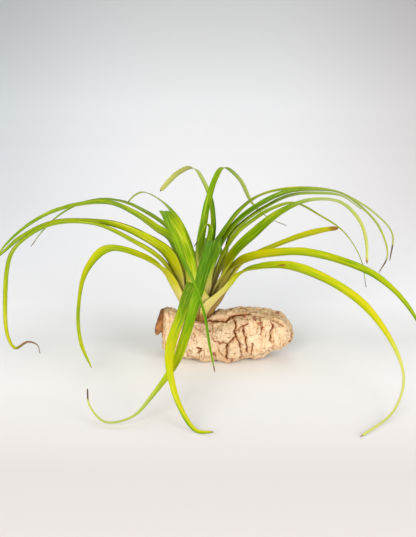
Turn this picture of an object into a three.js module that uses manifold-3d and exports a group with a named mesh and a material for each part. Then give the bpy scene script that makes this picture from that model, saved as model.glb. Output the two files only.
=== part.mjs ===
// An air plant with long strap leaves, seated in a hollow on top of a lying piece of cork bark.
// Millimetres, +Z up. The origin is the middle of the flat spot that the bark rests on, and
// +X runs along the bark. The side with the long drooping leaves faces -Y.
import * as THREE from 'three';
import { mergeVertices } from 'three/addons/utils/BufferGeometryUtils.js';
import Module from 'manifold-3d';

const wasm = await Module();
wasm.setup();

// Rosette: its foot stands in the hollow, and whorl 0 is the innermost
const rosetteFoot = new THREE.Vector3(-20, 2, 37);
const innerSheathRadius = 1.8;
const whorlSpacing = 1;
const outerWhorl = 8;
const innerSheathHeight = 14;
const innerSheathTop = 40;
const outerSheathTop = 18;
const innerLean = 3;
const outerLean = 32;
const widestSheathHalfAngle = 75;
const sheathAngleStep = 3.5;
const sheathGapAngle = 4;
const sheathSwell = 4;

// Leaf blade
const bladeThickness = 0.6;
const bladeSettling = 26;
const wrapReach = 1.1;
const cupAtTip = 0.3;
const foldFlattening = 18;
const pointsAcross = 5;
const ringsPerStretch = 3;

// Stem
const stemDepth = 8;
const stemClearance = 0.35;
const stemRounding = 2.6;
const turnedSides = 28;

// Cork bark
const barkLeftEnd = -56;
const barkRightEnd = 68;
const barkHalfDepth = 27;
const barkTop = 46;
const barkSag = -3;
const barkSquareness = 0.8;
const seatDip = 8;
const hollowClearance = 0.3;
const hollowSlack = 0.5;
const hollowMouthRadius = 19;
const hollowMouthHeight = 10;
const flakeDepth = 17;
const barkRings = 42;
const barkSides = 46;

// Each leaf: its whorl, heading in degrees from +X towards +Y, widths of its blade from foot to
// tip, cup in degrees, turns of the blade in degrees along its length, and its route above the
// sheath as [out, up, aside] from the rosette's foot. A wrap turns the sheath round the stem
// from the heading of the blade, in degrees
const leaves = [
  {
    name: 'leaf_right_low',
    whorl: 8,
    heading: 328,
    wrap: -33,
    widths: [16, 13, 15, 13, 9.5, 8, 5, 2.5, 2, 2, 2],
    cup: 58,
    turns: [-10, 10, 30, 45, 45, 30, 15],
    route: [
      [42, 50, 2], [62, 58, 2], [91, 62, 4], [125, 55, 6], [161, 38, 6], [192, 8, 2],
      [208, -15, -12], [214, -31, -48], [207, -36, -98],
    ],
  },
  {
    name: 'leaf_left_low',
    whorl: 8,
    heading: 205,
    widths: [20, 20, 20, 15, 11.5, 11, 9, 7, 6, 5, 1.5],
    cup: 56,
    turns: [15, 0, -20, -25, -15, -25, -45],
    route: [
      [38, 52, 2], [64, 69, 0], [86, 76, -2], [96, 74, -2], [110, 55, -7], [118, 20, -6],
      [118, -8, -1], [112, -30, 8],
    ],
  },
  {
    name: 'leaf_back_low',
    whorl: 8,
    heading: 92,
    widths: [16.5, 14, 12, 9.5, 6, 1.2],
    cup: 52,
    turns: [0, 0, -10, -25],
    route: [[41, 45, 0], [62, 50, 0], [92, 44, 2], [124, 26, 5], [146, 2, 8], [154, -24, 6]],
  },
  {
    name: 'leaf_right_yellow',
    whorl: 7,
    heading: 12,
    widths: [14.5, 13.5, 13, 10.5, 9, 5],
    cup: 52,
    turns: [-15, -10, 0, 10, 25, 35],
    route: [[38, 50, 0], [54, 60, 0], [74, 68, -1], [98, 76, -1], [117, 80, 0], [135, 82, 0]],
  },
  {
    name: 'leaf_left_long',
    whorl: 7,
    heading: 184,
    widths: [16, 14, 13, 12.5, 11, 11, 10, 8.5, 6, 2.8, 1.2],
    cup: 58,
    turns: [0, 20, 18, 24, 28, 42, 50],
    route: [
      [34, 55, 0], [64, 77, 0], [98, 94, 4], [134, 95, 8], [158, 84, 11], [173, 68, 12],
      [180, 28, 14], [179, -8, 18], [173, -19, 19], [162, -15, 14], [154, -20, 8], [152, -30, 4],
    ],
  },
  {
    name: 'leaf_front_low',
    whorl: 7,
    heading: 268,
    widths: [15, 13.5, 13, 11, 9, 9, 9, 6, 5, 4, 1.5],
    cup: 46,
    turns: [0, 0, -5, -15, 0, 15, 25],
    route: [
      [28, 31, 0], [42, 43, -2], [57, 50, -3], [81, 47, -7], [111, 35, -12], [140, 20, -18],
      [157, 6, -18], [170, -18, -10], [182, -35, 4], [190, -33, 18],
    ],
  },
  {
    name: 'leaf_right_long',
    whorl: 6,
    heading: 354,
    widths: [18.5, 18, 15, 12, 8, 1.3],
    cup: 56,
    turns: [-20, 15, 15, 20, 25, 25, 25],
    route: [
      [30, 51, 0], [46, 60, 0], [70, 65, 0], [100, 66, 0], [134, 58, 0], [164, 45, 0],
      [188, 24, 0], [204, 0, 0], [211, -28, 0],
    ],
  },
  {
    name: 'leaf_left_wide',
    whorl: 6,
    heading: 187,
    widths: [20, 19.5, 14.5, 10, 7, 1.3],
    cup: 56,
    turns: [20, 40, 35, 24, 20, 30, 25],
    route: [
      [30, 62, 0], [53, 80, 0], [79, 91, -6], [107, 94, -13], [135, 93, -18], [166, 79, -19],
      [183, 65, -19], [204, 49, -21],
    ],
  },
  {
    name: 'leaf_back_middle',
    whorl: 6,
    heading: 84,
    widths: [16, 14, 12, 9.5, 6, 1.2],
    cup: 52,
    turns: [0, 0, 10, 25],
    route: [[31, 51, 0], [46, 60, 0], [68, 61, 0], [96, 55, -3], [122, 36, -8], [140, 8, -14]],
  },
  {
    name: 'leaf_right_tall',
    whorl: 5,
    heading: 347,
    widths: [18.5, 19, 20, 20, 19, 14, 10, 9.5, 7, 5.5, 3],
    cup: 58,
    turns: [-10, 25, 25, 10, 0, 20, 35],
    route: [
      [32, 64, -1], [53, 86, 0], [76, 106, 0], [102, 118, -1], [128, 117, 0], [145, 102, 0],
      [152, 84, 0], [154, 62, 0],
    ],
  },
  {
    name: 'leaf_left_high',
    whorl: 5,
    heading: 162,
    widths: [20, 20, 15, 11.5, 6.5, 1.3],
    cup: 58,
    turns: [15, 50, 35, 20, 20, 20, 25],
    route: [
      [29, 74, 0], [44, 85, 2], [63, 97, 2], [89, 106, 0], [118, 104, 0], [152, 94, 0],
      [181, 78, 0], [204, 59, 0], [220, 40, 0],
    ],
  },
  {
    name: 'leaf_front_fold',
    whorl: 5,
    heading: 243,
    widths: [15, 14, 13.5, 12, 7.2, 6, 5, 3, 2.6, 2.5, 1.2],
    cup: 50,
    turns: [0, 0, 0, 5, -10, -15, -20],
    route: [
      [27, 62, 2], [36, 86, -2], [44, 104, -9], [50, 111, -10], [59, 108, -3], [74, 96, 13],
      [90, 80, 30], [106, 68, 48], [118, 47, 64], [124, 22, 72], [126, 0, 78],
    ],
  },
  {
    name: 'leaf_right_spread',
    whorl: 4,
    heading: 18,
    widths: [15, 13, 12, 9, 6.5, 1.3],
    cup: 58,
    turns: [-15, -15, -10, 5, 15, 30],
    route: [
      [25, 59, 1], [31, 77, 4], [46, 91, 4], [67, 103, 5], [92, 113, 3], [120, 114, 0],
      [144, 110, 1], [165, 96, 0],
    ],
  },
  {
    name: 'leaf_left_arch',
    whorl: 4,
    heading: 147,
    widths: [15, 13, 11, 8.5, 4.5, 1.2],
    cup: 58,
    turns: [20, 20, 20, 10, 0, -10],
    route: [
      [24, 70, 0], [38, 85, 1], [62, 97, 2], [88, 104, 1], [115, 104, 0], [146, 96, 0],
      [176, 80, 0], [198, 62, 0], [214, 44, 1],
    ],
  },
  {
    name: 'leaf_front_long',
    whorl: 4,
    heading: 285,
    widths: [15.5, 15, 14, 13.5, 10.5, 9, 9, 5.5, 3.5, 2.3, 1.2],
    cup: 54,
    turns: [0, 0, -10, -15, -5, 10, 15],
    route: [
      [22, 53, 1], [35, 73, 4], [46, 86, 0], [64, 78, -9], [80, 66, -18], [99, 46, -30],
      [116, 22, -43], [127, 4, -54], [140, -16, -75], [151, -29, -95], [146, -33, -116],
      [132, -23, -126], [124, -12, -126],
    ],
  },
  {
    name: 'leaf_right_short',
    whorl: 3,
    heading: 4,
    widths: [12, 12, 11, 7, 5, 1.3],
    cup: 52,
    turns: [0, -5, 5, 5],
    route: [
      [21, 62, -1], [34, 83, -5], [50, 96, -4], [68, 106, -2], [88, 110, 0], [112, 98, 0],
      [135, 82, 0], [152, 56, 0], [158, 28, -1],
    ],
  },
  {
    name: 'leaf_back_left_short',
    whorl: 3,
    heading: 126,
    widths: [13, 11, 8, 5.5, 4.5, 1.2],
    cup: 52,
    turns: [5, 5, 15, 30, 15, 0],
    route: [
      [20, 66, 0], [36, 88, 0], [54, 100, 1], [75, 106, 0], [98, 108, 0], [116, 102, 0],
      [132, 91, 0],
    ],
  },
  {
    name: 'leaf_right_arch',
    whorl: 2,
    heading: 22,
    widths: [16, 13.5, 12.5, 10, 5.5, 1.2],
    cup: 56,
    turns: [-5, -10, 0, 0, -5, 0],
    route: [
      [17, 64, 0], [34, 88, -1], [54, 103, -2], [86, 116, -3], [115, 117, -2], [146, 112, -2],
      [173, 94, -1], [194, 72, 0], [203, 44, -2], [196, 26, 1],
    ],
  },
  {
    name: 'leaf_back_left_tall',
    whorl: 2,
    heading: 108,
    widths: [13, 9.5, 8.5, 8.5, 7, 4.5],
    cup: 52,
    turns: [20, 35, 30, 30, 30, 40],
    route: [
      [13, 58, -9], [20, 77, -18], [34, 106, -21], [50, 124, -18], [67, 134, -14], [91, 126, -5],
      [112, 105, 8],
    ],
  },
  {
    name: 'leaf_right_high',
    whorl: 1,
    heading: 32,
    widths: [13.5, 11.5, 9, 7.5, 5, 1.3],
    cup: 56,
    turns: [-15, -20, -20, -5, 0, 0],
    route: [
      [12, 64, 0], [24, 81, -2], [42, 100, -2], [65, 112, 0], [96, 116, 0], [140, 113, -2],
      [174, 103, 2], [210, 82, -2], [236, 56, -4], [237, 26, -1],
    ],
  },
  {
    name: 'leaf_back_right_tall',
    whorl: 0,
    heading: 66,
    widths: [12, 10.5, 7.5, 7, 5, 1.2],
    cup: 52,
    turns: [-15, -15, -15, -10, 0, 15],
    route: [
      [7, 66, 3], [13, 89, 2], [22, 108, 2], [34, 128, 0], [49, 138, -2], [68, 124, -11],
      [90, 97, -16], [113, 79, -26], [130, 69, -39],
    ],
  },
  {
    name: 'leaf_inner_young',
    whorl: 0,
    heading: 252,
    widths: [9, 8, 6.5, 5, 3, 1.2],
    cup: 56,
    turns: [0, 0, 5, 10],
    route: [[7, 60, 6], [10, 80, 12], [16, 93, 15], [23, 96, 12], [30, 86, 10], [36, 78, 6]],
  },
];

// Colours of the leaf blades, the stem and the bark
const leafGreen = 0x8fb52a;
const leafYellow = 0xd2cf4c;
const stemTan = 0xcfae6a;
const corkTan = 0xdcb98c;

const degrees = THREE.MathUtils.degToRad;
const { lerp, smoothstep } = THREE.MathUtils;
const upwards = new THREE.Vector3(0, 0, 1);

// Sheath sizes by whorl
function sheathOf(whorl) {
  const share = whorl / outerWhorl;
  const lean = degrees(lerp(innerLean, outerLean, share));
  const radius = innerSheathRadius + whorlSpacing * whorl;
  const height = lerp(innerSheathHeight, 0, share);
  const top = lerp(innerSheathTop, outerSheathTop, share);
  return { lean, radius, height, top };
}

function sheathHeading(leaf) {
  return leaf.heading + (leaf.wrap ?? 0);
}

// Half of the angle that a sheath wraps round the stem, kept clear of its neighbours in the whorl
function sheathHalfAngle(leaf) {
  let halfAngle = widestSheathHalfAngle - sheathAngleStep * leaf.whorl;
  for (const other of leaves) {
    if (other === leaf || other.whorl !== leaf.whorl) continue;
    const apart = Math.abs(((sheathHeading(other) - sheathHeading(leaf) + 540) % 360) - 180);
    halfAngle = Math.min(halfAngle, apart / 2 - sheathGapAngle);
  }
  return degrees(halfAngle);
}

// A value along a list of evenly spaced ones
function along(list, share) {
  const place = share * (list.length - 1);
  const index = Math.min(Math.floor(place), list.length - 2);
  return lerp(list[index], list[index + 1], place - index);
}

// Centre line of a leaf in its own frame: x out, y aside, z up from the rosette's foot
function leafLine(leaf, sheath) {
  const coneRadius = (height) => sheath.radius + (height - sheath.height) * Math.tan(sheath.lean);
  const heights = [sheath.height, (sheath.height + sheath.top) / 2, sheath.top];
  const points = heights.map((height) => new THREE.Vector3(coneRadius(height), 0, height));
  for (const [out, up, aside] of leaf.route) points.push(new THREE.Vector3(out, aside, up));
  return new THREE.CatmullRomCurve3(points, false, 'centripetal');
}

// Stations along the centre line, with the length so far, the tangent and the bend at each
function leafStations(curve) {
  const stretches = curve.points.length - 1;
  const stations = [];
  for (let stretch = 0; stretch < stretches; stretch += 1) {
    const rings = stretch < 2 ? 1 : ringsPerStretch;
    for (let ring = 0; ring < rings; ring += 1) {
      stations.push({ share: (stretch + ring / rings) / stretches });
    }
  }
  stations.push({ share: 1 });
  let length = 0;
  stations.forEach((station, index) => {
    station.point = curve.getPoint(station.share);
    station.tangent = curve.getTangent(station.share);
    if (index > 0) length += station.point.distanceTo(stations[index - 1].point);
    station.length = length;
  });
  stations.forEach((station, index) => {
    const before = stations[Math.max(index - 1, 0)];
    const after = stations[Math.min(index + 1, stations.length - 1)];
    station.bend = before.tangent.angleTo(after.tangent) / (after.length - before.length);
  });
  return stations;
}

// One closed channelled blade: an outer and an inner row of points at every station
function leafGeometry(leaf) {
  const sheath = sheathOf(leaf.whorl);
  const curve = leafLine(leaf, sheath);
  const stations = leafStations(curve);
  const sheathLength = stations[2].length;
  const wholeLength = stations[stations.length - 1].length;
  const footHalfWidth = sheath.radius * sheathHalfAngle(leaf);
  const across = new THREE.Vector3(0, 1, 0);
  const vertices = [];
  for (const { point, tangent, length, bend } of stations) {
    across.addScaledVector(tangent, -across.dot(tangent)).normalize();
    const blade = Math.max(0, (length - sheathLength) / (wholeLength - sheathLength));
    const settled = smoothstep(length - sheathLength, 0, bladeSettling);
    const side = across.clone().applyAxisAngle(tangent, settled * degrees(along(leaf.turns, blade)));
    const upperSide = tangent.clone().cross(side);
    const inward = new THREE.Vector3(-point.x, -point.y, 0).normalize();
    inward.lerp(upperSide, settled).normalize();

    const bladeHalf = along(leaf.widths, blade) / 2;
    const widened = smoothstep(length, 0, sheathLength + bladeSettling);
    const swell = sheathSwell * (leaf.whorl / outerWhorl) * Math.sin(Math.PI * widened) ** 2;
    const halfWidth = lerp(footHalfWidth, bladeHalf, widened) + swell;
    const sheathCup = halfWidth / Math.hypot(point.x, point.y);
    const flattened = 1 + (bend * foldFlattening) ** 2;
    const bladeCup = (degrees(leaf.cup) * lerp(1, cupAtTip, blade)) / flattened;
    const cup = lerp(sheathCup, bladeCup, settled);
    const radius = halfWidth / cup;
    const thickness = bladeThickness * lerp(1 / Math.cos(sheath.lean), 1, settled);
    const unwrapped = smoothstep(length, sheathLength / 2, sheathLength + wrapReach * bladeSettling);
    const wrap = degrees(leaf.wrap ?? 0) * (1 - unwrapped);
    const keel = point.clone().addScaledVector(inward, -0.5 * settled * radius * (1 - Math.cos(cup)));

    for (const depth of [0, thickness]) {
      for (let step = 0; step < pointsAcross; step += 1) {
        const angle = cup * lerp(-1, 1, step / (pointsAcross - 1));
        const vertex = keel.clone();
        vertex.addScaledVector(side, (radius - depth) * Math.sin(angle));
        vertex.addScaledVector(inward, radius - (radius - depth) * Math.cos(angle));
        vertex.applyAxisAngle(upwards, wrap);
        vertices.push(vertex.x, vertex.y, vertex.z);
      }
    }
  }
  return skinRings(vertices, stations.length, 2 * pointsAcross);
}

// Faces round a row of rings, each an outer row of points and then an inner row
function skinRings(vertices, rings, ringSize) {
  const half = ringSize / 2;
  const loop = [];
  for (let step = 0; step < half; step += 1) loop.push(step);
  for (let step = half - 1; step >= 0; step -= 1) loop.push(half + step);
  const faces = [];
  const quad = (a, b, c, d) => faces.push(a, c, b, a, d, c);
  for (let ring = 0; ring + 1 < rings; ring += 1) {
    const here = ring * ringSize;
    const next = here + ringSize;
    loop.forEach((from, place) => {
      const to = loop[(place + 1) % ringSize];
      if (place < half) quad(here + from, next + from, next + to, here + to);
      else quad(here + to, here + from, next + from, next + to);
    });
  }
  const last = (rings - 1) * ringSize;
  for (let step = 0; step + 1 < half; step += 1) {
    quad(step, step + 1, half + step + 1, half + step);
    quad(last + step, last + half + step, last + half + step + 1, last + step + 1);
  }
  return closedGeometry(vertices, faces);
}

function closedGeometry(vertices, faces) {
  const geometry = new THREE.BufferGeometry();
  geometry.setAttribute('position', new THREE.Float32BufferAttribute(vertices, 3));
  geometry.setIndex(faces);
  return geometry;
}

// Short conical stem whose surface lies just inside the foot of every sheath
function stemGeometry() {
  const outerRadius = innerSheathRadius + whorlSpacing * outerWhorl;
  const wall = bladeThickness / Math.cos(degrees(outerLean));
  const profile = [
    [0, -stemDepth],
    [outerRadius - stemRounding, -stemDepth],
    [outerRadius, stemRounding - stemDepth],
    [outerRadius, -stemClearance],
    [outerRadius - wall - stemClearance, -stemClearance],
    [innerSheathRadius - bladeThickness - stemClearance, innerSheathHeight],
    [0, innerSheathHeight + 0.6],
  ];
  return turnedAboutZ(profile);
}

// A closed solid turned about the vertical axis from [radius, height] points
function turnedAboutZ(profile) {
  const outline = profile.map(([radius, height]) => new THREE.Vector2(radius, height));
  return new THREE.LatheGeometry(outline, turnedSides).rotateX(Math.PI / 2);
}

// Solids for joining and cutting
function toSolid(geometry) {
  const bare = geometry.clone();
  bare.deleteAttribute('normal');
  bare.deleteAttribute('uv');
  const merged = mergeVertices(bare, 1e-4);
  return new wasm.Manifold(new wasm.Mesh({
    numProp: 3,
    vertProperties: new Float32Array(merged.attributes.position.array),
    triVerts: new Uint32Array(merged.index.array),
  }));
}

function fromSolid(solid) {
  const mesh = solid.getMesh();
  return closedGeometry(Array.from(mesh.vertProperties), Array.from(mesh.triVerts));
}

// Smooth noise on a seeded lattice, repeating every 16 cells
function seededNoise(seed) {
  let state = seed;
  const lattice = Array.from({ length: 256 }, () => {
    state = (state * 1664525 + 1013904223) % 4294967296;
    return state / 4294967296;
  });
  const cell = (i, j) => lattice[(((i % 16) + 16) % 16) * 16 + (((j % 16) + 16) % 16)];
  return (u, v) => {
    const i = Math.floor(u);
    const j = Math.floor(v);
    const s = smoothstep(u - i, 0, 1);
    const t = smoothstep(v - j, 0, 1);
    return lerp(lerp(cell(i, j), cell(i + 1, j), s), lerp(cell(i, j + 1), cell(i + 1, j + 1), s), t);
  };
}

const roughNoise = seededNoise(11);
const crackNoise = seededNoise(47);

// Outline of the bark at a place along it: half depth, top and bottom heights
function barkOutline(x) {
  const rightRound = roundedEnd(barkRightEnd - x, 24);
  const leftRound = lerp(0.72, 1, roundedEnd(x - barkLeftEnd, 7));
  const top = lerp(25, barkTop, rightRound) * lerp(0.9, 1, leftRound) + 1.1 * Math.sin(x / 13);
  const leftRise = 11 * smoothstep(-20 - x, 0, 38) ** 1.5;
  const rightRise = 4 * smoothstep(x - 14, 0, 12) + 7 * smoothstep(x - 28, 0, 28);
  const bottom = lerp(22, barkSag + leftRise + rightRise, rightRound);
  const halfDepth = barkHalfDepth * lerp(0.15, 1, rightRound) * leftRound + 1.3 * Math.sin(x / 17 + 1);
  return { top, bottom, halfDepth };
}

// 0 at an end and 1 past the given length, along a quarter circle
function roundedEnd(distance, length) {
  const short = Math.max(0, 1 - Math.max(0, distance) / length);
  return Math.sqrt(1 - short ** 2);
}

// Relief of the bark: broad lumps and plates, the cracks between them, the low front edge where
// the rosette sits, the lip to its right with a long crack beneath, and a block low in front
function barkRelief(x, turn) {
  const lumps = 2.4 * (roughNoise(x / 17, turn * 16) - 0.5);
  const plates = 1.6 * (roughNoise(x / 8 + 5, turn * 16) - 0.5);
  const crack = Math.abs(crackNoise(x / 13, turn * 16) - 0.5);
  const cracks = 2.4 * Math.exp(-((crack / 0.07) ** 2));
  const lowEdge = seatDip * bump((x - rosetteFoot.x) / 15) * bump((turn - 0.365) / 0.085);
  const lipShare = smoothstep(x - rosetteFoot.x, 4, 12) * (1 - smoothstep(x, 18, 30));
  const lipCrack = 3 * lipShare * bump((turn - 0.325) / 0.022);
  const lip = 1.6 * lipShare * bump((turn - 0.3) / 0.02);
  const block = 2 * bump(((x - 10.5) / 7) ** 2) * bump(((turn - 0.585) / 0.07) ** 2);
  return lumps + plates + lip + block - cracks - lowEdge - lipCrack;
}

function bump(distance) {
  return Math.exp(-(distance ** 2));
}

// A point of the bark's surface, at a turn round it from +Y over the top
function barkPoint(x, turn) {
  const { top, bottom, halfDepth } = barkOutline(x);
  const relief = barkRelief(x, turn);
  const c = Math.cos(2 * Math.PI * turn);
  const s = Math.sin(2 * Math.PI * turn);
  const y = (halfDepth + relief) * Math.sign(c) * Math.abs(c) ** barkSquareness;
  const rise = ((top - bottom) / 2 + relief) * Math.sign(s) * Math.abs(s) ** barkSquareness;
  return [x, y, Math.max((top + bottom) / 2 + rise, 0)];
}

function barkGeometry() {
  const vertices = [];
  for (let ring = 0; ring <= barkRings; ring += 1) {
    const share = 0.5 - 0.5 * Math.cos(Math.PI * lerp(0.03, 0.97, ring / barkRings));
    const x = lerp(barkLeftEnd, barkRightEnd, share);
    for (let side = 0; side < barkSides; side += 1) vertices.push(...barkPoint(x, side / barkSides));
  }
  const faces = [];
  for (let ring = 0; ring < barkRings; ring += 1) {
    for (let side = 0; side < barkSides; side += 1) {
      const next = (side + 1) % barkSides;
      const a = ring * barkSides;
      const b = a + barkSides;
      faces.push(a + side, a + next, b + next, a + side, b + next, b + side);
    }
  }
  const lastRing = barkRings * barkSides;
  const leftCentre = capCentre(vertices, 0, 1.5);
  const rightCentre = capCentre(vertices, lastRing, 1);
  for (let side = 0; side < barkSides; side += 1) {
    const next = (side + 1) % barkSides;
    faces.push(leftCentre, next, side);
    faces.push(rightCentre, lastRing + side, lastRing + next);
  }
  return closedGeometry(vertices, faces);
}

// Adds the middle point of an end ring, moved along X, and gives its index
function capCentre(vertices, first, shift) {
  const middle = new THREE.Vector3();
  for (let side = 0; side < barkSides; side += 1) {
    middle.add(new THREE.Vector3().fromArray(vertices, 3 * (first + side)));
  }
  middle.divideScalar(barkSides);
  vertices.push(middle.x + shift, middle.y, middle.z);
  return vertices.length / 3 - 1;
}

// Hollow in the bark that the rosette sits in, as a solid of revolution about its axis
function hollowGeometry() {
  const outerRadius = innerSheathRadius + whorlSpacing * outerWhorl;
  const wall = outerRadius + hollowClearance + hollowSlack;
  const floor = -stemDepth - hollowClearance;
  const profile = [
    [0, floor],
    [wall - stemRounding / 2, floor],
    [wall, floor + stemRounding],
    [wall, -1],
    [hollowMouthRadius, hollowMouthHeight],
    [hollowMouthRadius + 8, 2 * hollowMouthHeight],
    [0, 2 * hollowMouthHeight],
  ];
  return turnedAboutZ(profile).translate(rosetteFoot.x, rosetteFoot.y, rosetteFoot.z);
}

// Loose wedge of bark that stands off the left end
function flakeGeometry() {
  const shape = new THREE.Shape();
  shape.moveTo(3, 12);
  shape.lineTo(1, 20);
  shape.quadraticCurveTo(-3, 22.5, -6.5, 20.5);
  shape.quadraticCurveTo(-10, 12, -11.8, 1);
  shape.lineTo(-9.5, -0.5);
  shape.quadraticCurveTo(-6.5, 4.5, 3, 5);
  shape.closePath();
  const flake = new THREE.ExtrudeGeometry(shape, {
    depth: flakeDepth,
    bevelEnabled: false,
    curveSegments: 4,
  });
  return flake.rotateX(Math.PI / 2).translate(barkLeftEnd + 5, -2, 27);
}

function corkGeometry() {
  const bark = toSolid(barkGeometry()).add(toSolid(flakeGeometry()));
  return fromSolid(bark.subtract(toSolid(hollowGeometry())));
}

function finish(colour, roughness) {
  return new THREE.MeshStandardMaterial({ color: colour, roughness, metalness: 0 });
}

const airPlant = new THREE.Group();
const rosette = new THREE.Group();
rosette.position.copy(rosetteFoot);
airPlant.add(rosette);

const cork = new THREE.Mesh(corkGeometry(), finish(corkTan, 0.9));
cork.name = 'cork_bark';
airPlant.add(cork);

const stem = new THREE.Mesh(stemGeometry(), finish(stemTan, 0.7));
stem.name = 'stem';
rosette.add(stem);

for (const leaf of leaves) {
  const colour = leaf.name === 'leaf_right_yellow' ? leafYellow : leafGreen;
  const mesh = new THREE.Mesh(leafGeometry(leaf), finish(colour, 0.5));
  mesh.name = leaf.name;
  mesh.rotation.z = degrees(leaf.heading);
  rosette.add(mesh);
}

export default airPlant;
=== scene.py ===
import math
import bmesh
import bpy
import numpy as np
from mathutils import Matrix, Vector, noise


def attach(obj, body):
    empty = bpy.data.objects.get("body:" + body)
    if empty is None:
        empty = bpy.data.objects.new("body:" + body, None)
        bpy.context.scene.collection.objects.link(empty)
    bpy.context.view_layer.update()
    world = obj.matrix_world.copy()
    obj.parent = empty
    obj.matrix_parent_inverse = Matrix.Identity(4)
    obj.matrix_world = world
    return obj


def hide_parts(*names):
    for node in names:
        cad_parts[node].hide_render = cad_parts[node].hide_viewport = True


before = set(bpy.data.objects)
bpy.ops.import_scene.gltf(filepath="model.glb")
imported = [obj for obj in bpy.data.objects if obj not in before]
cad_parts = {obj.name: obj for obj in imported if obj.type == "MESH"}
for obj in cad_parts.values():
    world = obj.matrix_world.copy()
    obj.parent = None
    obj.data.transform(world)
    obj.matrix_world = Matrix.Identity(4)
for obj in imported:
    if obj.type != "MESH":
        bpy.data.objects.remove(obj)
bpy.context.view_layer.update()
mm = 0.001
print("frame loaded:", len(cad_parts), "nodes")


def colour(code):
    # a web colour as linear red, green, blue and alpha
    parts = [int(code[i:i + 2], 16) / 255 for i in (0, 2, 4)]
    return tuple(p / 12.92 if p < 0.04045 else ((p + 0.055) / 1.055) ** 2.4 for p in parts) + (1.0,)


def mix(a, b, share):
    # part of the way from a to b
    return a + (b - a) * share


def ease(value, low, high):
    # 0 up to low, 1 from high, and a smooth rise from one to the other
    share = min(max((value - low) / (high - low), 0.0), 1.0)
    return share * share * (3 - 2 * share)


def listed(values, share):
    # a value along a list of evenly spaced ones
    place = min(max(share, 0.0), 1.0) * (len(values) - 1)
    index = min(int(place), len(values) - 2)
    return mix(values[index], values[index + 1], place - index)


def addObject(name, data):
    made = bpy.data.objects.new(name, data)
    bpy.context.scene.collection.objects.link(made)
    return made


# shader maths on sockets
class Shade:
    def __init__(self, finish, socket):
        self.finish = finish
        self.socket = socket

    def maths(self, operation, first, second):
        return self.finish.node("ShaderNodeMath", {"operation": operation}, {0: first, 1: second})

    def __add__(self, other):
        return self.maths("ADD", self, other)

    def __radd__(self, other):
        return self.maths("ADD", other, self)

    def __sub__(self, other):
        return self.maths("SUBTRACT", self, other)

    def __rsub__(self, other):
        return self.maths("SUBTRACT", other, self)

    def __mul__(self, other):
        return self.maths("MULTIPLY", self, other)

    def __rmul__(self, other):
        return self.maths("MULTIPLY", other, self)

    def __truediv__(self, other):
        return self.maths("DIVIDE", self, other)

    def __rtruediv__(self, other):
        return self.maths("DIVIDE", other, self)

    def between(self, low, high):
        # 0 up to low, 1 from high, and a smooth rise from one to the other
        inputs = {"Value": self, "From Min": low, "From Max": high, "To Min": 0.0, "To Max": 1.0}
        return self.finish.node("ShaderNodeMapRange", {"interpolation_type": "SMOOTHSTEP"}, inputs)


class Finish:
    def __init__(self, name):
        self.material = bpy.data.materials.new(name)
        self.material.use_nodes = True
        self.tree = self.material.node_tree
        self.tree.nodes.clear()

    def node(self, kind, settings=None, inputs=None, output=0):
        # any node: settings first, then the values or links of its sockets
        made = self.tree.nodes.new(kind)
        for key, value in (settings or {}).items():
            if key == "stops":
                self.stops(made.color_ramp, value)
            else:
                setattr(made, key, value)
        for key, value in (inputs or {}).items():
            if isinstance(value, Shade):
                self.tree.links.new(value.socket, made.inputs[key])
            else:
                made.inputs[key].default_value = value
        return Shade(self, made.outputs[output]) if made.outputs else None

    def stops(self, ramp, stops):
        # place and colour of each stop of a ramp
        while len(ramp.elements) < len(stops):
            ramp.elements.new(1.0)
        for element, (place, shade) in zip(ramp.elements, stops):
            element.position = place
            element.color = shade

    def attribute(self, name):
        return self.node("ShaderNodeAttribute", {"attribute_name": name}, output="Fac")

    def place(self, scale):
        # object coordinates, scaled along each axis
        where = self.node("ShaderNodeTexCoord", output="Object")
        return self.node("ShaderNodeMapping", {"vector_type": "POINT"}, {"Vector": where, "Scale": scale})

    def vector(self, x, y, z):
        return self.node("ShaderNodeCombineXYZ", {}, {"X": x, "Y": y, "Z": z})

    def noise(self, vector, scale, detail=3.0, rough=0.5, twist=0.0):
        inputs = {"Vector": vector, "Scale": scale, "Detail": detail}
        inputs.update({"Roughness": rough, "Distortion": twist})
        return self.node("ShaderNodeTexNoise", {"noise_dimensions": "3D"}, inputs)

    def blend(self, share, first, second, kind="MIX"):
        settings = {"data_type": "RGBA", "blend_type": kind, "clamp_factor": True}
        return self.node("ShaderNodeMix", settings, {0: share, 6: first, 7: second}, output=2)

    def bump(self, height, strength, distance):
        inputs = {"Height": height, "Strength": strength, "Distance": distance}
        return self.node("ShaderNodeBump", {}, inputs)

    def finish(self, inputs):
        surface = self.node("ShaderNodeBsdfPrincipled", {}, inputs)
        self.node("ShaderNodeOutputMaterial", {}, {"Surface": surface})
        return self.material


# camera at the photograph's angle, in millimetres
view = {"place": (-13.0, -873.27, 304.23), "target": (-13.0, 0.0, 86.5), "lens": 64.36}


def makeCamera():
    camera = addObject("camera", bpy.data.cameras.new("camera"))
    camera.location = Vector(view["place"]) * mm
    towards = (Vector(view["target"]) - Vector(view["place"])).normalized()
    camera.rotation_euler = towards.to_track_quat("-Z", "Y").to_euler()
    camera.data.lens = view["lens"]
    camera.data.clip_start = 0.01
    camera.data.clip_end = 20.0
    bpy.context.scene.camera = camera


makeCamera()


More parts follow.
